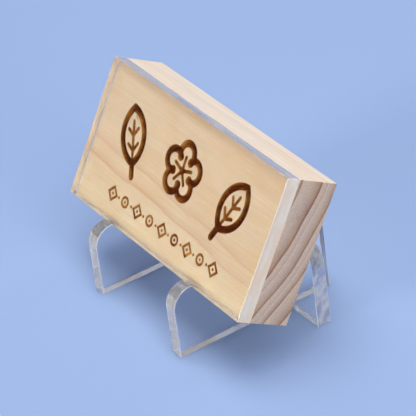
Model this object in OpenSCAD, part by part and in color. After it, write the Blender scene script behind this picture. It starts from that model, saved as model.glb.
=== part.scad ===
// Engraved wood plaque with a clear face plate, leaning in a clear three-plate stand.
// Millimetres. The origin is on the table, under the middle of the whole object.
// +X runs along the plaque, +Y towards its back and +Z up.

/* [Plaque] */
// Length of the wood block and of its face plate
plaque_length = 100; // [90:1:120]
// Height of the plaque, measured up its leaning face
plaque_height = 49; // [46:1:60]
// Thickness of the wood
wood_thickness = 15; // [12:0.5:16]
// Thickness of the clear face plate
face_thickness = 5; // [3:0.5:5]
// Thickness of the clear adhesive between the plate and the wood
film_thickness = 0.1; // [0.05:0.05:0.2]
// Angle that the plaque leans back from upright
lean_angle = 30; // [27:1:31]

/* [Engraving] */
// Depth of the burnt lines
engraving_depth = 1.1; // [0.3:0.1:1.5]
// Width of the lines in the large motifs
bold_line = 2.6; // [1.8:0.1:3]
// Width of the thin lines inside the large motifs
vein_line = 1.3; // [0.8:0.1:1.6]
// Width of the lines in the lower row
fine_line = 0.9; // [0.5:0.1:1.1]
// Distance between the middles of neighbouring large motifs
motif_pitch = 29; // [26:0.5:30]
// Height of the large motifs' middles up the face
motif_height = 29; // [27:0.5:30]
// Height of the lower row's middle up the face
row_height = 8; // [6:0.5:9]
// Distance from one mark to the next in the lower row
row_pitch = 7.4; // [6.8:0.1:8]
// Number of marks in the lower row
row_marks = 9; // [5:2:9]
// Distance that the whole design sits off the plaque's middle
design_shift = -1.6; // [-3:0.1:3]

/* [Stand] */
// Thickness of the clear sheet that the stand is cut from
sheet = 5; // [4:0.5:5]
// Depth of a side plate from front to rear
side_depth = 58.6; // [57:0.2:64]
// Height of a side plate's front post
front_height = 24.9; // [24:0.1:30]
// Height of the side plates and the brace at the rear
stand_height = 30; // [28:0.5:30]
// Rounding of the plates' upper corners
corner_radius = 7; // [5:0.5:7]
// Length of the notch's front face that shows ahead of the plaque
front_lip = 0.25; // [0.1:0.05:1]
// Distance between the middles of the two side plates
side_pitch = 47; // [40:1:55]
// Distance that the stand sits off the plaque's middle
stand_shift = -2.2; // [-4:0.1:4]
// Length of the cross brace
brace_length = 85; // [80:1:90]
// Distance of the brace's middle behind the origin
brace_place = 15.4; // [15:0.1:17]
// Height at which the two half-lap slots meet
lap_height = 15; // [12:0.5:15]
// Gap on each side of a plate in its slot
lap_clearance = 0.05; // [0.03:0.01:0.15]

/* [Hidden] */
$fn = 96;

// Cutting tools reach this far past the faces that they cut.
over = 1;

plaque_thickness = face_thickness + film_thickness + wood_thickness;
wood_front = face_thickness + film_thickness;

// The notch: a front face along the plaque's underside, and a back face along its back.
crest_y = corner_radius - side_depth / 2;
notch_face = front_lip + plaque_thickness;
notch_y = crest_y + notch_face * cos(lean_angle);
notch_z = front_height - notch_face * sin(lean_angle);
plaque_edge_y = crest_y + front_lip * cos(lean_angle);
plaque_edge_z = front_height - front_lip * sin(lean_angle);

// The rounded corner where the notch's back face meets the top edge
arc_z = stand_height - corner_radius;
ridge_y = notch_y + (arc_z - notch_z) * tan(lean_angle) + corner_radius / cos(lean_angle);
rest_end_y = ridge_y - corner_radius * cos(lean_angle);
rest_end_z = arc_z + corner_radius * sin(lean_angle);
rear_y = side_depth / 2;

slot_width = sheet + 2 * lap_clearance;

// The leaf motif: two arcs that meet at both tips
leaf_length = 18.5;
leaf_bulge = 5.6;
leaf_radius = (pow(leaf_length / 2, 2) + pow(leaf_bulge, 2)) / (2 * leaf_bulge);
leaf_tilt = 24;
stalk_top = 0.7 - leaf_length / 2;
stalk_length = 5;
vein_length = 0.72 * leaf_length;
side_veins = 2;
side_vein = 3.4;
side_vein_step = 5;
side_vein_angle = 48;

// The blossom motif
petals = 5;
petal_place = 5.7;
petal_radius = 3.6;
heart_radius = 4.6;
stamen_length = 4.7;
eye_radius = 1.5;

// The lower row
mark_size = 4.2;
dot_radius = 0.55;

clear_color = [0.86, 0.9, 0.95, 0.45];
film_color = [0.95, 0.93, 0.85, 0.4];
wood_color = [0.93, 0.79, 0.6];

// --- Engraving ------------------------------------------------------------

// A straight line with a square start at the origin and a round far end, along +X.
module line_stroke(length, width) {
    translate([0, -width / 2]) square([length, width]);
    translate([length, 0]) circle(d = width);
}

// A pointed leaf shape where two circles overlap.
module vesica(radius) {
    intersection() {
        translate([leaf_bulge - leaf_radius, 0]) circle(r = radius);
        translate([leaf_radius - leaf_bulge, 0]) circle(r = radius);
    }
}

// A leaf on a stalk, pointing up.
module leaf_motif() {
    difference() {
        vesica(leaf_radius + bold_line / 2);
        vesica(leaf_radius - bold_line / 2);
    }
    translate([0, stalk_top]) rotate(-90) line_stroke(stalk_length, bold_line);
    translate([0, stalk_top]) rotate(90) line_stroke(vein_length, vein_line);
    for (side = [-1, 1])
        for (step = [0 : side_veins - 1])
            translate([0, -step * side_vein_step])
                rotate(90 + side * side_vein_angle) line_stroke(side_vein, vein_line);
}

// Copies of children on a ring about the blossom's middle.
module each_petal(radius, turn = 0) {
    for (petal = [0 : petals - 1])
        rotate(90 + turn + petal * 360 / petals) translate([radius, 0]) children();
}

// A blossom: petals drawn as a scalloped line about a round eye with stamens.
module blossom_motif() {
    difference() {
        each_petal(petal_place) circle(r = petal_radius + bold_line / 2);
        each_petal(petal_place) circle(r = petal_radius - bold_line / 2);
        circle(r = heart_radius);
    }
    each_petal(heart_radius, 180 / petals) circle(d = bold_line);
    each_petal(0) line_stroke(stamen_length, vein_line);
    circle(r = eye_radius);
}

// One mark of the lower row: a diamond or a ring about a dot, with a dot after it.
module row_mark(index) {
    if (index % 2 == 0)
        difference() {
            rotate(45) square(mark_size, center = true);
            rotate(45) square(mark_size - 2 * fine_line, center = true);
        }
    else
        difference() {
            circle(d = mark_size);
            circle(d = mark_size - 2 * fine_line);
        }
    circle(r = dot_radius);
    if (index < row_marks - 1)
        translate([row_pitch / 2, 0]) circle(r = dot_radius);
}

// The whole design, drawn on the front of the wood.
module design() {
    translate([-motif_pitch, motif_height]) rotate(leaf_tilt) leaf_motif();
    translate([0, motif_height]) blossom_motif();
    translate([motif_pitch, motif_height]) rotate(-leaf_tilt) leaf_motif();
    for (index = [0 : row_marks - 1])
        translate([(index - (row_marks - 1) / 2) * row_pitch, row_height]) row_mark(index);
}

// --- Plaque ---------------------------------------------------------------

// Places children drawn with X along the plaque, Y into it and Z up its face.
module on_plaque() {
    translate([0, plaque_edge_y, plaque_edge_z])
        rotate([-lean_angle, 0, 0])
            children();
}

// A full-face layer of the plaque that starts at a depth behind the front.
module plaque_layer(start, thickness) {
    translate([-plaque_length / 2, start, 0])
        cube([plaque_length, thickness, plaque_height]);
}

module wood_block() {
    color(wood_color)
        on_plaque()
            difference() {
                plaque_layer(wood_front, wood_thickness);
                translate([design_shift, wood_front + engraving_depth, 0])
                    rotate([90, 0, 0])
                        linear_extrude(engraving_depth + over) design();
            }
}

module face_plate() {
    color(clear_color) on_plaque() plaque_layer(0, face_thickness);
}

module adhesive_film() {
    color(film_color) on_plaque() plaque_layer(face_thickness, film_thickness);
}

// --- Stand ----------------------------------------------------------------

// A side plate's outline with Y to the right and Z up.
module side_outline() {
    difference() {
        union() {
            polygon([
                [-rear_y, 0],
                [rear_y, 0],
                [rear_y, arc_z],
                [rear_y - corner_radius, stand_height],
                [ridge_y, stand_height],
                [rest_end_y, rest_end_z],
                [notch_y, notch_z],
                [crest_y, front_height],
                [crest_y, front_height - corner_radius],
                [-rear_y, front_height - corner_radius]
            ]);
            translate([rear_y - corner_radius, arc_z]) circle(r = corner_radius);
            translate([ridge_y, arc_z]) circle(r = corner_radius);
            intersection() {
                translate([crest_y, front_height - corner_radius]) circle(r = corner_radius);
                translate([-rear_y, front_height - corner_radius])
                    square([corner_radius, corner_radius]);
            }
        }
        translate([brace_place - slot_width / 2, lap_height])
            square([slot_width, stand_height]);
    }
}

// A side plate with its middle at a distance along X.
module side_plate(middle) {
    translate([middle - sheet / 2, 0, 0])
        rotate([90, 0, 90])
            linear_extrude(sheet) side_outline();
}

module left_side_plate() {
    color(clear_color) side_plate(stand_shift - side_pitch / 2);
}

module right_side_plate() {
    color(clear_color) side_plate(stand_shift + side_pitch / 2);
}

// The brace's outline with X to the right and Z up, centred on the stand.
module brace_outline() {
    corner_x = brace_length / 2 - corner_radius;
    difference() {
        union() {
            polygon([
                [-brace_length / 2, 0],
                [brace_length / 2, 0],
                [brace_length / 2, arc_z],
                [corner_x, stand_height],
                [-corner_x, stand_height],
                [-brace_length / 2, arc_z]
            ]);
            for (side = [-1, 1])
                translate([side * corner_x, arc_z]) circle(r = corner_radius);
        }
        for (side = [-1, 1])
            translate([side * side_pitch / 2 - slot_width / 2, -over])
                square([slot_width, lap_height + over]);
    }
}

module cross_brace() {
    color(clear_color)
        translate([stand_shift, brace_place + sheet / 2, 0])
            rotate([90, 0, 0])
                linear_extrude(sheet) brace_outline();
}

wood_block();
face_plate();
adhesive_film();
left_side_plate();
right_side_plate();
cross_brace();
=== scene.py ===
import math

import bmesh
import bpy
from mathutils import Matrix, Vector


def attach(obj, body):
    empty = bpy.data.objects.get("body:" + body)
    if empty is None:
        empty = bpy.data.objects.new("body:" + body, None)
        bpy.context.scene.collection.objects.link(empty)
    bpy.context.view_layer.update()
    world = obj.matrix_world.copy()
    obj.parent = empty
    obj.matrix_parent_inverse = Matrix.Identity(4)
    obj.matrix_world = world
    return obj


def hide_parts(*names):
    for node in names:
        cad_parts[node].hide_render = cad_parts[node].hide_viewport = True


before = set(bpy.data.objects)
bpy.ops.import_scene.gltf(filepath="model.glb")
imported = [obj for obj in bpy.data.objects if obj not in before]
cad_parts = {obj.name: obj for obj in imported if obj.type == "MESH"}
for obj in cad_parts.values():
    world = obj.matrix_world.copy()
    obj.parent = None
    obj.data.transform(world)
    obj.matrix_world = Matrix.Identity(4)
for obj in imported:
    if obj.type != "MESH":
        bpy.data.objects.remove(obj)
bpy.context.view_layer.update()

MM = 0.001

# --- Camera ----------------------------------------------------------------
CAMERA_TARGET = Vector((0.00436, -0.00114, 0.03524))
CAMERA_DISTANCE = 0.9518
CAMERA_AZIMUTH = 60.66
CAMERA_ELEVATION = 33.53
CAMERA_ROLL = 7.86
CAMERA_LENS = 256.2

# --- Light -------------------------------------------------------------------
LIGHT_LEVEL = 1.3
LAMP_COLOUR = (1.05, 1.025, 0.935)
LAMP_DISTANCE = 1.6
# Each lamp: its azimuth and elevation, what it adds on an open floor, and its width in metres.
LAMPS = {
    "overhead_softbox": (0, 90, 0.455, 1.0),
    "high_right_softbox": (90, 60, 0.205, 1.0),
    "high_left_softbox": (270, 60, 0.09, 1.0),
    "back_left_softbox": (238, 34, 0.04, 1.6),
    "low_front_softbox": (0, 12, 0.132, 0.6),
    "low_right_softbox": (90, 12, 0.056, 0.6),
    "low_back_softbox": (180, 12, 0.045, 0.6),
}
SKY_LEVEL = 0.08
SKY_COLOUR = (0.30, 0.65, 1.75, 1.0)
# A dark patch of sky, which the front plate mirrors towards the camera.
DARK_AZIMUTH, DARK_ELEVATION = 313.0, 4.5
DARK_INNER, DARK_OUTER, DARK_LEVEL = 8.0, 16.0, 0.01
CLEAR_BOUNCES, THIN_BOUNCES = 40, 24

# --- Plaque, in its own millimetres: X along it, Y into it, Z up its face ---
FACE_THICKNESS = 5.0
FILM_THICKNESS = 0.1
WOOD_THICKNESS = 15.0
WOOD_FRONT = FACE_THICKNESS + FILM_THICKNESS
# The film stops short of the edges, has round corners, and touches neither the plate nor the wood.
FILM_INSET, FILM_CORNER, FILM_GAP = 1.0, 2.0, 0.02
WOOD_EASE, PLATE_EASE, STAND_EASE = 0.25, 0.2, 0.15

# --- Engraved ornament, in the same millimetres --------------------------------
DESIGN_SHIFT = -1.6
MOTIF_PITCH = 29.0
MOTIF_HEIGHT = 29.0
ROW_HEIGHT = 8.0
ROW_PITCH = 7.4
ROW_MARKS = 9
BOLD_LINE, BOLD_DEPTH = 2.6, 1.15
VEIN_LINE, VEIN_DEPTH = 1.3, 0.75
FINE_LINE, FINE_DEPTH = 0.95, 0.5
LEAF_LENGTH, LEAF_BULGE, LEAF_TILT = 18.5, 5.6, 24.0
STALK_LENGTH, STALK_OVERLAP = 5.0, 0.7
VEIN_SHARE = 0.72
SIDE_VEIN, SIDE_VEIN_STEP, SIDE_VEIN_ANGLE = 3.4, 5.0, 48.0
PETALS, PETAL_PLACE, PETAL_RADIUS, HEART_RADIUS = 5, 5.7, 3.6, 4.6
STAMEN_START, STAMEN_LENGTH = 0.3, 4.7
EYE_RADIUS, EYE_DEPTH = 1.5, 1.0
MARK_SIZE, DOT_RADIUS, DOT_DEPTH = 4.2, 0.55, 0.4
# Facets round a wide and a narrow cutter, and the degrees from ring to ring in its round ends.
WIDE_SIDES, NARROW_SIDES, CAP_STEP = 20, 14, 25

# --- Colours, as display values from 0 to 255 --------------------------------
RAW_PALE, RAW_LATE = (221, 208, 195), (206, 178, 163)
COVERED_PALE, COVERED_LATE = (248, 223, 188), (232, 184, 148)
# The wood under the plate, with painted light towards its bottom edge and painted shade just under its top
# edge.
COVERED_PAINTED_LIGHT, COVERED_PAINTED_SHADE = (255, 233, 196), (222, 192, 160)
# Where the painted light and painted shade begin and are full: the painted light, lighter wood towards the
# plate's bottom edge, up from the bottom edge; the painted shade, darker wood under the plate's top edge,
# down from the top edge.
PAINTED_LIGHT_BAND, PAINTED_SHADE_BAND = (17.0, 2.0), (5.0, 0.5)
END_PALE, END_LATE = (212, 189, 170), (142, 94, 68)
CLOUD_TINT = (238, 192, 128)
RIM_CHAR, WALL_CHAR, FLOOR_CHAR = (210, 152, 72), (162, 92, 24), (94, 38, 3)
FLOOR_BLUE = (144, 166, 208)

# --- Cut acrylic -----------------------------------------------------------------
# Its tints, as linear colours. Besides white, they are painted reflections: the warm ones stand in for the
# wood, the lilac and blue ones for the blue floor and sky seen in the cut edges.
WHITE, CREAM = (1, 1, 1, 1), (1, 0.86, 0.64, 1)
PEACH, LILAC = (1, 0.92, 0.85, 1), (0.94, 0.88, 0.92, 1)
APRICOT, DULL_BLUE = (1, 0.75, 0.5, 1), (0.58, 0.62, 0.82, 1)
# Each finish: noise scale per millimetre along, into and up; two tints, painted reflections besides white;
# roughness;
# how clear it is, from 0 to 1; and how strongly it is marked.
CUT_FINISHES = {
    "eased_acrylic": ((2.0, 2.0, 2.0), (WHITE, LILAC), 0.3, 0.5, 0.3),
    "cut_acrylic_side": ((0.15, 0.9, 0.9), (WHITE, PEACH), 0.06, 0.74, 0.3),
    "cut_acrylic_top": ((0.15, 0.9, 0.9), (WHITE, PEACH), 0.05, 0.88, 0.3),
    "cut_acrylic_brace": ((0.9, 1.1, 0.5), (WHITE, DULL_BLUE), 0.08, 0.62, 0.8),
    "cut_acrylic_plate": ((0.6, 0.15, 0.9), (PEACH, LILAC), 0.1, 0.72, 0.1),
    "sawn_acrylic_plate": ((0.9, 0.8, 0.2), (CREAM, APRICOT), 0.08, 0.3, 0.3),
    "cut_acrylic_far": ((0.6, 0.4, 0.4), (WHITE, PEACH), 0.12, 0.95, 0.3),
}
ACRYLIC_IOR = 1.49
# How far a face's normal leans towards an axis: on a flat face, a cut edge, an upper or lower one.
FLAT, SQUARE, ENDWAYS, UPWARD, DOWNWARD = 0.97, 0.2, 0.8, 0.6, -0.5

# --- Wood grain: growth rings round a pith that lies out in front of the block ---
# The pith's place at the block's right end, and how far it drifts back for each millimetre along.
PITH_INTO, PITH_UP = -80.1, 55.8
PITH_DRIFT = 0.03
RING_LOW, RING_HIGH = 82.0, 120.0
# Each growth ring: its radius, then how dark it is along the grain and across it.
RINGS = (
    (86.9, 0.20, 0.80),
    (94.3, 0.65, 1.00),
    (96.5, 0.90, 0.35),
    (100.9, 0.25, 0.90),
    (103.2, 0.20, 0.30),
    (106.3, 0.80, 0.95),
    (112.3, 0.70, 0.90),
)
# Which darkness of a ring is used, and how far before the ring the wood starts to darken.
ALONG_GRAIN, ALONG_LEAD = 1, 1.0
ACROSS_GRAIN, ACROSS_LEAD = 2, 4.5

# Noise scales per millimetre, along the grain and across it.
FIBRE, PORES, SAW_MARKS, CLOUDS = (0.05, 1.9), (2.4, 2.4), (0.5, 5.0), (0.05, 0.12)
WANDER, RIPPLE, JITTER = (0.02, 0.05), (0.05, 0.15), (0.3, 2.5)
SCORCH_PATCHES, SCORCH_STREAKS = (0.16, 0.2), (0.7, 2.2)

# --- The plaque's place in the frame -------------------------------------------
face_points = [v.co.copy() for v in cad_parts["face_plate"].data.vertices]
FOOT = min(face_points, key=lambda p: p.y)
CREST = max(face_points, key=lambda p: p.z)
LEAN = math.atan2(CREST.y - FOOT.y, CREST.z - FOOT.z)
PLAQUE_ORIGIN = Vector((0.0, FOOT.y, FOOT.z))
PLAQUE_LENGTH = 2 * max(p.x for p in face_points) / MM
PLAQUE_HEIGHT = math.hypot(CREST.y - FOOT.y, CREST.z - FOOT.z) / MM
PLAQUE_MATRIX = (
    Matrix.Translation(PLAQUE_ORIGIN) @ Matrix.Rotation(-LEAN, 4, "X") @ Matrix.Scale(MM, 4)
)


# --- Node helpers -----------------------------------------------------------
class Tree:
    """A new material's node tree, with short ways to add and join nodes.

    Inputs given to add() as i0, i1 and so on are the node's inputs by number.
    """

    def __init__(self, name):
        self.material = bpy.data.materials.new(name)
        self.material.use_nodes = True
        self.nodes = self.material.node_tree.nodes
        self.links = self.material.node_tree.links
        self.shader = self.nodes["Principled BSDF"]

    def add(self, kind, settings=None, **inputs):
        node = self.nodes.new("ShaderNode" + kind)
        for key, value in (settings or {}).items():
            setattr(node, key, value)
        for key, value in inputs.items():
            self.feed(node.inputs[int(key[1:]) if key[1:].isdigit() else key], value)
        return node

    def feed(self, socket, value):
        if isinstance(value, bpy.types.NodeSocket):
            self.links.new(value, socket)
        else:
            socket.default_value = value

    def math(self, operation, a, b=0.0, clamp=False):
        node = self.add("Math", {"operation": operation, "use_clamp": clamp}, i0=a, i1=b)
        return node.outputs[0]

    def spread(self, value, low, high, to_low=0.0, to_high=1.0, smooth=True):
        settings = {"interpolation_type": "SMOOTHSTEP" if smooth else "LINEAR"}
        return self.add("MapRange", settings, i0=value, i1=low, i2=high, i3=to_low, i4=to_high).outputs[0]

    def mix(self, factor, a, b, blend="MIX"):
        node = self.add("Mix", {"data_type": "RGBA", "blend_type": blend}, i0=factor, i6=a, i7=b)
        return node.outputs[2]

    def noise(self, vector, scale, detail=2.0, roughness=0.5):
        node = self.add("TexNoise", None, Vector=vector, Scale=scale, Detail=detail, Roughness=roughness)
        return node.outputs[0]


def rgb(red, green, blue):
    """A linear colour from the usual 0 to 255 display values."""
    def linear(value):
        value /= 255
        return value / 12.92 if value <= 0.04045 else ((value + 0.055) / 1.055) ** 2.4
    return (linear(red), linear(green), linear(blue), 1.0)


def plaque_coordinates(tree):
    """The plaque's own millimetres at the shading point: along, into and up."""
    place = tree.add("TexCoord").outputs["Object"]
    shifted = tree.add("VectorMath", {"operation": "SUBTRACT"}, i0=place, i1=PLAQUE_ORIGIN).outputs[0]
    turned = tree.add("VectorRotate", {"rotation_type": "X_AXIS"}, Vector=shifted, Angle=LEAN).outputs[0]
    scaled = tree.add("VectorMath", {"operation": "SCALE"}, i0=turned, Scale=1 / MM).outputs[0]
    parts = tree.add("SeparateXYZ", None, i0=scaled)
    return scaled, parts.outputs[0], parts.outputs[1], parts.outputs[2]


# --- Materials --------------------------------------------------------------
def ring_ramp(tree, radius, column, lead):
    """How dark the wood is at a distance from the pith: a slow rise to each ring, then a sharp drop."""
    ramp = tree.add("ValToRGB")
    stops = ramp.color_ramp.elements
    stops.remove(stops[-1])
    stops[0].position = 0.0
    stops[0].color = (0, 0, 0, 1)

    def stop(at, value):
        made = stops.new((at - RING_LOW) / (RING_HIGH - RING_LOW))
        made.color = (value, value, value, 1)

    before = RING_LOW
    for ring in RINGS:
        at, strength = ring[0], ring[column]
        slow = min(lead, 0.7 * (at - before))
        stop(at - slow, 0.12 * strength)
        stop(at - 0.25 * slow, 0.5 * strength)
        stop(at - 0.08, strength)
        stop(at + 0.22, 0.0)
        before = at
    share = tree.spread(radius, RING_LOW, RING_HIGH, smooth=False)
    tree.feed(ramp.inputs[0], share)
    return ramp.outputs[0]


def wood_facing(tree):
    """Shares of the surface that face the front, and that are sawn across the grain."""
    normal = tree.add("TexCoord").outputs["Normal"]
    turned = tree.add("VectorRotate", {"rotation_type": "X_AXIS"}, Vector=normal, Angle=LEAN).outputs[0]
    parts = tree.add("SeparateXYZ", None, i0=turned)
    front = tree.spread(parts.outputs[1], -0.75, -0.4, 1.0, 0.0)
    sawn_end = tree.spread(tree.math("ABSOLUTE", parts.outputs[0]), 0.75, 0.95)
    return front, sawn_end


def grain_noise(tree, place, scales, detail, roughness=0.5):
    """Noise stretched along the grain, whose scales are those along it and across it."""
    along, across = scales
    stretch = (along, across, across)
    stretched = tree.add("VectorMath", {"operation": "MULTIPLY"}, i0=place, i1=stretch).outputs[0]
    return tree.noise(stretched, 1.0, detail, roughness)


def grey(tree, value):
    return tree.add("CombineColor", None, i0=value, i1=value, i2=value).outputs[0]


def ring_radius(tree, place, along, into, up):
    """Distance from the pith, which runs far out in front of the block, with a little wander."""
    wander = tree.spread(grain_noise(tree, place, WANDER, 1.0), 0, 1, -1.3, 1.3, False)
    ripple = tree.spread(grain_noise(tree, place, RIPPLE, 1.0), 0, 1, -0.3, 0.3, False)
    jitter = tree.spread(grain_noise(tree, place, JITTER, 2.0), 0, 1, -0.22, 0.22, False)
    middle_pith = PITH_INTO - PLAQUE_LENGTH / 2 * PITH_DRIFT
    pith = tree.math("ADD", tree.math("MULTIPLY", along, PITH_DRIFT), middle_pith)
    across = tree.math("SUBTRACT", into, pith)
    rise = tree.math("SUBTRACT", up, PITH_UP)
    squares = tree.math("ADD", tree.math("MULTIPLY", across, across), tree.math("MULTIPLY", rise, rise))
    wavy = tree.math("ADD", tree.math("ADD", wander, ripple), jitter)
    return tree.math("ADD", tree.math("SQRT", squares), wavy)


def groove_share(tree, along, depth, up):
    """One inside the engraved grooves, nought on the rest of the block."""
    off_ends = tree.math("LESS_THAN", tree.math("ABSOLUTE", along), PLAQUE_LENGTH / 2 - 1)
    off_middle = tree.math("ABSOLUTE", tree.math("SUBTRACT", up, PLAQUE_HEIGHT / 2))
    off_edges = tree.math("LESS_THAN", off_middle, PLAQUE_HEIGHT / 2 - 1)
    shallow = tree.math("LESS_THAN", depth, 2.0)
    inside = tree.math("MULTIPLY", shallow, tree.math("MULTIPLY", off_ends, off_edges))
    return tree.math("MULTIPLY", inside, tree.spread(depth, 0.01, 0.06))


def scorched(tree, place, depth):
    """Scorching down a groove: golden at its rim, brown on its walls, nearly black at the bottom."""
    patches = grain_noise(tree, place, SCORCH_PATCHES, 1.0)
    streaks = grain_noise(tree, place, SCORCH_STREAKS, 3.0, 0.65)
    burnt = tree.math("ADD", depth, tree.spread(patches, 0.3, 0.7, -0.35, 0.3, False))
    burnt = tree.math("ADD", burnt, tree.spread(streaks, 0.3, 0.7, -0.25, 0.25, False))
    wall = tree.mix(tree.spread(burnt, 0.1, 0.55, smooth=False), rgb(*RIM_CHAR), rgb(*WALL_CHAR))
    return tree.mix(tree.spread(burnt, 0.5, 1.1), wall, rgb(*FLOOR_CHAR))


def wood_material():
    tree = Tree("pale_wood")
    place, along, into, up = plaque_coordinates(tree)
    front, sawn_end = wood_facing(tree)
    radius = ring_radius(tree, place, along, into, up)
    late = ring_ramp(tree, radius, ALONG_GRAIN, ALONG_LEAD)
    late_end = ring_ramp(tree, radius, ACROSS_GRAIN, ACROSS_LEAD)

    # Long fibres, fine pores and broad soft clouds of colour.
    fibre = grain_noise(tree, place, FIBRE, 4.0, 0.6)
    pores = grain_noise(tree, place, PORES, 3.0, 0.7)
    saw_marks = grain_noise(tree, place, SAW_MARKS, 2.0)
    cloud = grain_noise(tree, place, CLOUDS, 3.0, 0.55)

    raw = tree.mix(late, rgb(*RAW_PALE), rgb(*RAW_LATE))
    covered = tree.mix(late, rgb(*COVERED_PALE), rgb(*COVERED_LATE))
    # Painted light: the wood under the plate is lighter towards its bottom edge.
    low = tree.spread(up, *PAINTED_LIGHT_BAND, 0.0, 0.8)
    covered = tree.mix(low, covered, rgb(*COVERED_PAINTED_LIGHT))
    # Painted shade: the wood under the plate is darker just under its top edge.
    shaded = tree.spread(up, PLAQUE_HEIGHT - PAINTED_SHADE_BAND[0], PLAQUE_HEIGHT - PAINTED_SHADE_BAND[1])
    covered = tree.mix(shaded, covered, rgb(*COVERED_PAINTED_SHADE))
    end = tree.mix(late_end, rgb(*END_PALE), rgb(*END_LATE))
    colour = tree.mix(sawn_end, tree.mix(front, raw, covered), end)
    streak = tree.spread(fibre, 0.3, 0.72, tree.spread(front, 0, 1, 0.89, 0.965), 1.05)
    colour = tree.mix(1.0, colour, grey(tree, streak), "MULTIPLY")
    cloudy = tree.spread(cloud, 0.35, 0.65, 0.0, tree.spread(front, 0, 1, 0.12, 0.24))
    colour = tree.mix(cloudy, colour, rgb(*CLOUD_TINT))
    speckle = tree.spread(pores, 0.3, 0.7, 0.82, 1.12, False)
    speckle = tree.mix(sawn_end, (1, 1, 1, 1), grey(tree, speckle))
    colour = tree.mix(1.0, colour, speckle, "MULTIPLY")

    depth = tree.math("SUBTRACT", into, WOOD_FRONT)
    groove = groove_share(tree, along, depth, up)
    colour = tree.mix(groove, colour, scorched(tree, place, depth))

    tree.feed(tree.shader.inputs["Base Color"], colour)
    tree.shader.inputs["Specular IOR Level"].default_value = 0.0
    rough = tree.mix(sawn_end, (0.5, 0.5, 0.5, 1), (0.8, 0.8, 0.8, 1))
    tree.feed(tree.shader.inputs["Roughness"], tree.math("ADD", rough, tree.math("MULTIPLY", groove, 0.15)))
    side_relief = tree.math("ADD", tree.math("MULTIPLY", fibre, 0.7), tree.math("MULTIPLY", saw_marks, 0.3))
    relief = tree.mix(sawn_end, grey(tree, side_relief), grey(tree, pores))
    bump = tree.add("Bump", None, Strength=0.5, Distance=0.00012, Height=relief)
    tree.feed(tree.shader.inputs["Normal"], bump.outputs[0])
    return tree.material


def clear_acrylic_material():
    tree = Tree("clear_acrylic")
    tree.shader.inputs["Base Color"].default_value = (1, 1, 1, 1)
    tree.shader.inputs["Transmission Weight"].default_value = 1.0
    tree.shader.inputs["IOR"].default_value = ACRYLIC_IOR
    tree.shader.inputs["Roughness"].default_value = 0.0
    return tree.material


def cut_acrylic_material(name):
    """Acrylic where it has been cut: satin, with faint marks, and patches of two tints that, besides white,
    are painted reflections of the wood and the blue floor seen in the cut edge.
    """
    stretch, reflection_tints, roughness, clearness, marking = CUT_FINISHES[name]
    tree = Tree(name)
    tree.shader.inputs["Transmission Weight"].default_value = clearness
    tree.shader.inputs["IOR"].default_value = ACRYLIC_IOR
    tree.shader.inputs["Roughness"].default_value = roughness
    place = plaque_coordinates(tree)[0]
    stretched = tree.add("VectorMath", {"operation": "MULTIPLY"}, i0=place, i1=stretch).outputs[0]
    marks = tree.noise(stretched, 1.0, 2.0, 0.6)
    patches = tree.noise(stretched, 0.45, 2.0, 0.5)
    # Painted reflection: patches of warm or blue tint in place of the wood and floor seen in the edge.
    reflection_tint = tree.mix(tree.spread(patches, 0.38, 0.62), *reflection_tints)
    tree.feed(tree.shader.inputs["Base Color"], reflection_tint)
    bump = tree.add("Bump", None, Strength=marking, Distance=0.0001, Height=marks)
    tree.feed(tree.shader.inputs["Normal"], bump.outputs[0])
    return tree.material


def adhesive_material():
    """Clear adhesive, which is hardly seen at all."""
    tree = Tree("clear_adhesive")
    tree.shader.inputs["Base Color"].default_value = (0.3, 0.2, 0.08, 1)
    tree.shader.inputs["Alpha"].default_value = 0.005
    tree.shader.inputs["Roughness"].default_value = 0.3
    return tree.material


def floor_material():
    tree = Tree("pale_floor")
    tree.shader.inputs["Base Color"].default_value = rgb(*FLOOR_BLUE)
    tree.shader.inputs["Roughness"].default_value = 0.8
    tree.shader.inputs["Specular IOR Level"].default_value = 0.2
    return tree.material


# --- Geometry ---------------------------------------------------------------
def new_object(name, mesh):
    made = bpy.data.objects.new(name, mesh)
    bpy.context.scene.collection.objects.link(made)
    return made


def shade(piece, angle=40):
    """Smooth shading that leaves large faces flat right up to their eased edges."""
    for face in piece.data.polygons:
        face.use_smooth = True
    piece.data.set_sharp_from_angle(angle=math.radians(angle))
    weighted = piece.modifiers.new("flat_faces", "WEIGHTED_NORMAL")
    weighted.keep_sharp = True
    weighted.weight = 100


def refined(node, name, ease):
    """A CAD node's mesh with its flat faces made whole again and its sharp edges eased."""
    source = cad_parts[node].data
    work = bmesh.new()
    work.from_mesh(source)
    bmesh.ops.remove_doubles(work, verts=work.verts, dist=1e-6)
    bmesh.ops.dissolve_limit(work, angle_limit=math.radians(0.5), verts=work.verts, edges=work.edges)
    sharp = [e for e in work.edges if e.is_manifold and e.calc_face_angle() > math.radians(25)]
    easing = {"offset": ease * MM, "segments": 2, "profile": 0.5, "affect": "EDGES", "clamp_overlap": True}
    bmesh.ops.bevel(work, geom=sharp, **easing)
    mesh = bpy.data.meshes.new(name)
    work.to_mesh(mesh)
    work.free()
    piece = new_object(name, mesh)
    shade(piece)
    return piece


def arc_points(centre, radius, start, end, step=0.35):
    """Points along an arc in the plane of the wood's front, angles in degrees."""
    count = max(4, round(abs(math.radians(end - start)) * radius / step))
    angles = [math.radians(start + (end - start) * i / count) for i in range(count + 1)]
    return [Vector((centre[0] + radius * math.cos(a), centre[1] + radius * math.sin(a))) for a in angles]


def placed(points, shift=(0, 0), turn=0):
    rotation = Matrix.Rotation(math.radians(turn), 2)
    return [rotation @ Vector(p) + Vector(shift) for p in points]


def sideways(travel):
    return Vector((-travel.y, travel.x)).normalized()


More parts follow.
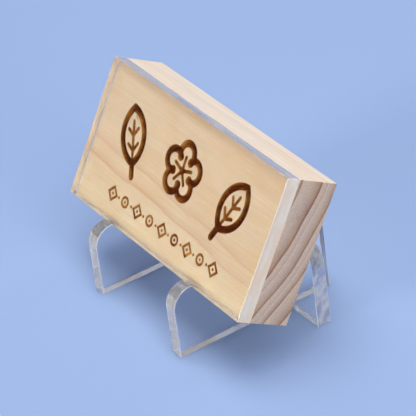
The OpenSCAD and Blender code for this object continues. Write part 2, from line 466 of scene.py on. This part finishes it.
def ring_vertices(work, point, side, radius, lift, sides):
    """A ring of vertices across a stroke: side is the stroke's sideways direction, times any mitre."""
    made = []
    for i in range(sides):
        angle = 2 * math.pi * i / sides
        offset = side * (radius * math.cos(angle))
        into = WOOD_FRONT - lift + radius * math.sin(angle)
        made.append(work.verts.new((point.x + offset.x, into, point.y + offset.y)))
    return made


def path_rings(work, points, closed, radius, lift, sides):
    """One ring at each point of a stroke, mitred where the stroke bends."""
    last = len(points) - 1
    rings = []
    for i, point in enumerate(points):
        before = points[i - 1] if closed or i > 0 else None
        after = points[(i + 1) % len(points)] if closed or i < last else None
        leaving = (after - point).normalized() if after is not None else (point - before).normalized()
        arriving = (point - before).normalized() if before is not None else leaving
        middle = (arriving + leaving).normalized()
        mitre = 1 / max(0.5, middle.dot(arriving))
        rings.append(ring_vertices(work, point, sideways(middle) * mitre, radius, lift, sides))
    return rings


def cap_rings(work, end, outward, side, radius, lift, sides):
    """Rings that shrink outwards from a stroke's end, to round it off."""
    caps = []
    for step in (1, 2, 3):
        angle = math.radians(step * CAP_STEP)
        centre = end + outward * radius * math.sin(angle)
        caps.append(ring_vertices(work, centre, side, radius * math.cos(angle), lift, sides))
    return caps


def stroke_cutter(work, points, width, depth, closed=False):
    """A round-bottomed cutter along points, whose groove has this width and depth. Open ends are round."""
    radius = (width**2 / 4 + depth**2) / (2 * depth)
    lift = radius - depth
    sides = WIDE_SIDES if width > 2 else NARROW_SIDES
    rings = path_rings(work, points, closed, radius, lift, sides)
    if closed:
        rings.append(rings[0])
    else:
        back = (points[0] - points[1]).normalized()
        ahead = (points[-1] - points[-2]).normalized()
        first_cap = cap_rings(work, points[0], back, sideways(-back), radius, lift, sides)
        last_cap = cap_rings(work, points[-1], ahead, sideways(ahead), radius, lift, sides)
        rings = first_cap[::-1] + rings + last_cap
        work.faces.new(rings[0])
        work.faces.new(rings[-1][::-1])
    for first, second in zip(rings, rings[1:]):
        for i in range(sides):
            j = (i + 1) % sides
            work.faces.new((first[j], first[i], second[i], second[j]))


def dimple_cutter(work, point, radius, depth):
    """A ball that cuts a round dimple."""
    ball = (radius**2 + depth**2) / (2 * depth)
    place = Matrix.Translation((point.x, WOOD_FRONT - (ball - depth), point.y))
    bmesh.ops.create_icosphere(work, subdivisions=3, radius=ball, matrix=place)


def leaf_strokes(shift, turn):
    """One leaf: its outline of two arcs, then its stalk, its middle vein and its side veins."""
    bend = (LEAF_LENGTH**2 / 4 + LEAF_BULGE**2) / (2 * LEAF_BULGE)
    half = math.degrees(math.asin(LEAF_LENGTH / 2 / bend))
    right = arc_points((LEAF_BULGE - bend, 0), bend, -half, half)
    left = arc_points((bend - LEAF_BULGE, 0), bend, 180 - half, 180 + half)
    stalk_top = Vector((0, STALK_OVERLAP - LEAF_LENGTH / 2))
    vein_top = stalk_top + Vector((0, VEIN_SHARE * LEAF_LENGTH))
    outline = placed(right[:-1] + left[:-1], shift, turn)
    stalk = placed([stalk_top - Vector((0, STALK_LENGTH)), stalk_top], shift, turn)
    vein = placed([stalk_top, vein_top], shift, turn)
    sides = []
    for way in (-1, 1):
        angle = math.radians(90 + way * SIDE_VEIN_ANGLE)
        reach = Vector((math.cos(angle), math.sin(angle))) * SIDE_VEIN
        for low in (0, -SIDE_VEIN_STEP):
            sides.append(placed([Vector((0, low)), Vector((0, low)) + reach], shift, turn))
    return outline, stalk, vein, sides


def blossom_strokes(shift):
    """Petals as arcs round a common middle, and the stamens between the middle and each petal."""
    reach = (HEART_RADIUS**2 - PETAL_PLACE**2 - PETAL_RADIUS**2) / (2 * PETAL_PLACE * PETAL_RADIUS)
    open_to = math.degrees(math.acos(reach))
    petals, stamens = [], []
    for i in range(PETALS):
        turn = 90 + i * 360 / PETALS
        petals.append(placed(arc_points((PETAL_PLACE, 0), PETAL_RADIUS, -open_to, open_to), shift, turn))
        stamens.append(placed([(STAMEN_START, 0), (STAMEN_LENGTH, 0)], shift, turn))
    return petals, stamens


def groove_cutters():
    """The whole engraved ornament as cutters, in groups whose members never touch each other."""
    bold, vein = (BOLD_LINE, BOLD_DEPTH), (VEIN_LINE, VEIN_DEPTH)
    fine = (FINE_LINE, FINE_DEPTH)
    middle = (DESIGN_SHIFT, MOTIF_HEIGHT)
    leaves = [
        leaf_strokes((DESIGN_SHIFT - MOTIF_PITCH, MOTIF_HEIGHT), LEAF_TILT),
        leaf_strokes((DESIGN_SHIFT + MOTIF_PITCH, MOTIF_HEIGHT), -LEAF_TILT),
    ]
    petals, stamens = blossom_strokes(middle)
    groups = [[] for _ in range(PETALS)]
    for outline, stalk, rib, sides in leaves:
        groups[0].append((outline, *bold, True))
        groups[1].append((stalk, *bold, False))
        groups[2].append((rib, *vein, False))
        groups[3] += [(line, *vein, False) for line in sides[:2]]
        groups[4] += [(line, *vein, False) for line in sides[2:]]
    for group, petal in zip(groups, petals):
        group.append((petal, *bold, False))
    for i in range(ROW_MARKS):
        centre = (DESIGN_SHIFT + (i - (ROW_MARKS - 1) / 2) * ROW_PITCH, ROW_HEIGHT)
        if i % 2:
            mark = arc_points(centre, (MARK_SIZE - FINE_LINE) / 2, 0, 360, 0.25)[:-1]
        else:
            corner = (MARK_SIZE - FINE_LINE) / math.sqrt(2)
            mark = placed([(corner, 0), (0, corner), (-corner, 0), (0, -corner)], centre)
        groups[0].append((mark, *fine, True))
    return groups + [[(line, *vein, False)] for line in stamens]


def row_dots():
    first = DESIGN_SHIFT - (ROW_MARKS - 1) / 2 * ROW_PITCH
    return [Vector((first + i * ROW_PITCH / 2, ROW_HEIGHT)) for i in range(2 * ROW_MARKS - 1)]


def cut(block, fill):
    """Cuts what fill() builds out of the block."""
    mesh = bpy.data.meshes.new("cutter")
    work = bmesh.new()
    fill(work)
    bmesh.ops.recalc_face_normals(work, faces=work.faces)
    work.to_mesh(mesh)
    work.free()
    cutter = new_object("cutter", mesh)
    carve = block.modifiers.new("carve", "BOOLEAN")
    carve.operation = "DIFFERENCE"
    carve.solver = "MANIFOLD"
    carve.object = cutter
    carved = bpy.data.meshes.new_from_object(block.evaluated_get(bpy.context.evaluated_depsgraph_get()))
    block.modifiers.clear()
    old = block.data
    block.data = carved
    bpy.data.objects.remove(cutter)
    bpy.data.meshes.remove(mesh)
    bpy.data.meshes.remove(old)


def engraved_wood():
    """The wooden block with eased edges and the ornament carved into its front."""
    work = bmesh.new()
    place = Matrix.Translation((0, WOOD_FRONT + WOOD_THICKNESS / 2, PLAQUE_HEIGHT / 2))
    size = Matrix.Diagonal((PLAQUE_LENGTH, WOOD_THICKNESS, PLAQUE_HEIGHT, 1))
    bmesh.ops.create_cube(work, size=1.0, matrix=place @ size)
    bmesh.ops.bevel(work, geom=work.edges, offset=WOOD_EASE, segments=2, profile=0.5, affect="EDGES")
    mesh = bpy.data.meshes.new("engraved_wood_block")
    work.to_mesh(mesh)
    work.free()
    block = new_object("engraved_wood_block", mesh)
    for group in groove_cutters():
        cut(block, lambda work: [stroke_cutter(work, *stroke) for stroke in group])
    middle = Vector((DESIGN_SHIFT, MOTIF_HEIGHT))
    cut(block, lambda work: dimple_cutter(work, middle, EYE_RADIUS, EYE_DEPTH))
    cut(block, lambda work: [dimple_cutter(work, dot, DOT_RADIUS, DOT_DEPTH) for dot in row_dots()])
    block.data.transform(PLAQUE_MATRIX)
    block.data.materials.clear()
    block.data.name = "engraved_wood_block"
    shade(block, 35)
    return block


def adhesive_sheet():
    """The clear sheet between plate and wood, with round corners, just short of their edges."""
    work = bmesh.new()
    corners = []
    half, low, high = PLAQUE_LENGTH / 2 - FILM_INSET, FILM_INSET, PLAQUE_HEIGHT - FILM_INSET
    for x, z, start in ((half, high, 0), (-half, high, 90), (-half, low, 180), (half, low, 270)):
        middle = (x - math.copysign(FILM_CORNER, x), z + (FILM_CORNER if z == low else -FILM_CORNER))
        corners += arc_points(middle, FILM_CORNER, start, start + 90)
    front = FACE_THICKNESS + FILM_GAP
    outline = work.faces.new([work.verts.new((p.x, front, p.y)) for p in corners])
    raised = bmesh.ops.extrude_face_region(work, geom=[outline])["geom"]
    back = [v for v in raised if isinstance(v, bmesh.types.BMVert)]
    bmesh.ops.translate(work, verts=back, vec=(0, FILM_THICKNESS - 2 * FILM_GAP, 0))
    bmesh.ops.recalc_face_normals(work, faces=work.faces)
    mesh = bpy.data.meshes.new("clear_adhesive_sheet")
    work.to_mesh(mesh)
    work.free()
    mesh.transform(PLAQUE_MATRIX)
    return new_object("clear_adhesive_sheet", mesh)


def hand_over(piece, body, node, materials):
    """Gives a piece its materials, attaches it to its body and hides the CAD node it stands in for."""
    for material in materials:
        piece.data.materials.append(material)
    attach(piece, body)
    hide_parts(node)


def side_finish(normal):
    """Material numbers: flat faces, cut edges, eased edges and the upper cut edges."""
    if abs(normal.x) > FLAT:
        return 0
    if abs(normal.x) >= SQUARE:
        return 2
    return 3 if normal.z > UPWARD else 1


def brace_finish(normal):
    """Material numbers: flat faces, cut edges and eased edges."""
    if abs(normal.y) > FLAT:
        return 0
    return 2 if abs(normal.y) >= SQUARE else 1


def plate_finish(normal):
    """Material numbers: flat faces and the bottom, the top and eased edges, the right, the left."""
    if abs(normal.y) > FLAT:
        return 0
    if normal.x > ENDWAYS:
        return 2
    if normal.x < -ENDWAYS:
        return 3
    return 0 if normal.z < DOWNWARD else 1


def finish_faces(piece, finish, turn=Matrix.Identity(3)):
    for face in piece.data.polygons:
        face.material_index = finish(turn @ face.normal)


def stand_pieces(clear, eased):
    side_cut = cut_acrylic_material("cut_acrylic_side")
    side_top = cut_acrylic_material("cut_acrylic_top")
    brace_cut = cut_acrylic_material("cut_acrylic_brace")
    for node, name in (
        ("left_side_plate", "clear_side_left"),
        ("right_side_plate", "clear_side_right"),
    ):
        side = refined(node, name, STAND_EASE)
        hand_over(side, "stand", node, [clear, side_cut, eased, side_top])
        finish_faces(side, side_finish)
    brace = refined("cross_brace", "clear_brace", STAND_EASE)
    hand_over(brace, "brace", "cross_brace", [clear, brace_cut, eased])
    finish_faces(brace, brace_finish)


def face_plate_piece(clear):
    top_cut = cut_acrylic_material("cut_acrylic_plate")
    right_sawn = cut_acrylic_material("sawn_acrylic_plate")
    left_cut = cut_acrylic_material("cut_acrylic_far")
    plate = refined("face_plate", "clear_face_plate", PLATE_EASE)
    hand_over(plate, "plaque", "face_plate", [clear, top_cut, right_sawn, left_cut])
    finish_faces(plate, plate_finish, Matrix.Rotation(LEAN, 3, "X"))


def acrylic_pieces():
    clear = clear_acrylic_material()
    stand_pieces(clear, cut_acrylic_material("eased_acrylic"))
    face_plate_piece(clear)


acrylic_pieces()
hand_over(engraved_wood(), "plaque", "wood_block", [wood_material()])
hand_over(adhesive_sheet(), "plaque", "adhesive_film", [adhesive_material()])


# --- Stage ------------------------------------------------------------------
def floor():
    mesh = bpy.data.meshes.new("floor")
    reach, drop = 3.0, -0.1 * MM
    corners = [(-reach, -reach, drop), (reach, -reach, drop), (reach, reach, drop), (-reach, reach, drop)]
    mesh.from_pydata(corners, [], [(0, 1, 2, 3)])
    mesh.materials.append(floor_material())
    new_object("floor", mesh)


def direction(azimuth, elevation):
    """A unit vector: azimuth 0 is the front, -Y, and 90 the right, +X."""
    around, above = math.radians(azimuth), math.radians(elevation)
    level = math.cos(above)
    return Vector((math.sin(around) * level, -math.cos(around) * level, math.sin(above)))


def softbox(name, azimuth, elevation, level, width):
    """A round soft light, aimed at the plaque."""
    away = direction(azimuth, elevation)
    data = bpy.data.lights.new(name, "AREA")
    data.shape = "DISK"
    data.size = width
    data.color = LAMP_COLOUR
    data.energy = LIGHT_LEVEL * level * math.pi**2 * LAMP_DISTANCE**2 / away.z
    light = new_object(name, data)
    light.location = away * LAMP_DISTANCE
    light.rotation_mode = "QUATERNION"
    light.rotation_quaternion = (-away).to_track_quat("-Z", "Y")


def lights():
    for name, settings in LAMPS.items():
        softbox(name, *settings)


def sky():
    """A dim blue sky with one darker patch."""
    world = bpy.data.worlds.new("studio")
    bpy.context.scene.world = world
    world.use_nodes = True
    nodes, links = world.node_tree.nodes, world.node_tree.links
    toward = nodes.new("ShaderNodeVectorMath")
    toward.operation = "DOT_PRODUCT"
    links.new(nodes.new("ShaderNodeTexCoord").outputs["Generated"], toward.inputs[0])
    toward.inputs[1].default_value = direction(DARK_AZIMUTH, DARK_ELEVATION)
    fade = nodes.new("ShaderNodeMapRange")
    fade.interpolation_type = "SMOOTHSTEP"
    fade.inputs[1].default_value = math.cos(math.radians(DARK_OUTER))
    fade.inputs[2].default_value = math.cos(math.radians(DARK_INNER))
    fade.inputs[3].default_value = LIGHT_LEVEL * SKY_LEVEL
    fade.inputs[4].default_value = LIGHT_LEVEL * DARK_LEVEL
    links.new(toward.outputs["Value"], fade.inputs[0])
    nodes["Background"].inputs[0].default_value = SKY_COLOUR
    links.new(fade.outputs[0], nodes["Background"].inputs[1])


def camera():
    data = bpy.data.cameras.new("camera")
    data.lens = CAMERA_LENS
    data.sensor_width = 36.0
    data.clip_start = 0.05
    data.clip_end = 20.0
    made = new_object("camera", data)
    back = direction(CAMERA_AZIMUTH, CAMERA_ELEVATION)
    made.location = CAMERA_TARGET + back * CAMERA_DISTANCE
    level = (-back).to_track_quat("-Z", "Y").to_matrix()
    made.rotation_mode = "QUATERNION"
    made.rotation_quaternion = (level @ Matrix.Rotation(math.radians(-CAMERA_ROLL), 3, "Z")).to_quaternion()
    bpy.context.scene.camera = made


def light_paths():
    """Enough bounces for light that is caught inside the clear sheets."""
    cycles = bpy.context.scene.cycles
    cycles.max_bounces = CLEAR_BOUNCES
    cycles.transmission_bounces = CLEAR_BOUNCES
    cycles.glossy_bounces = CLEAR_BOUNCES
    cycles.transparent_max_bounces = THIN_BOUNCES


floor()
lights()
sky()
camera()
light_paths()
bpy.context.scene.view_settings.view_transform = "Standard"
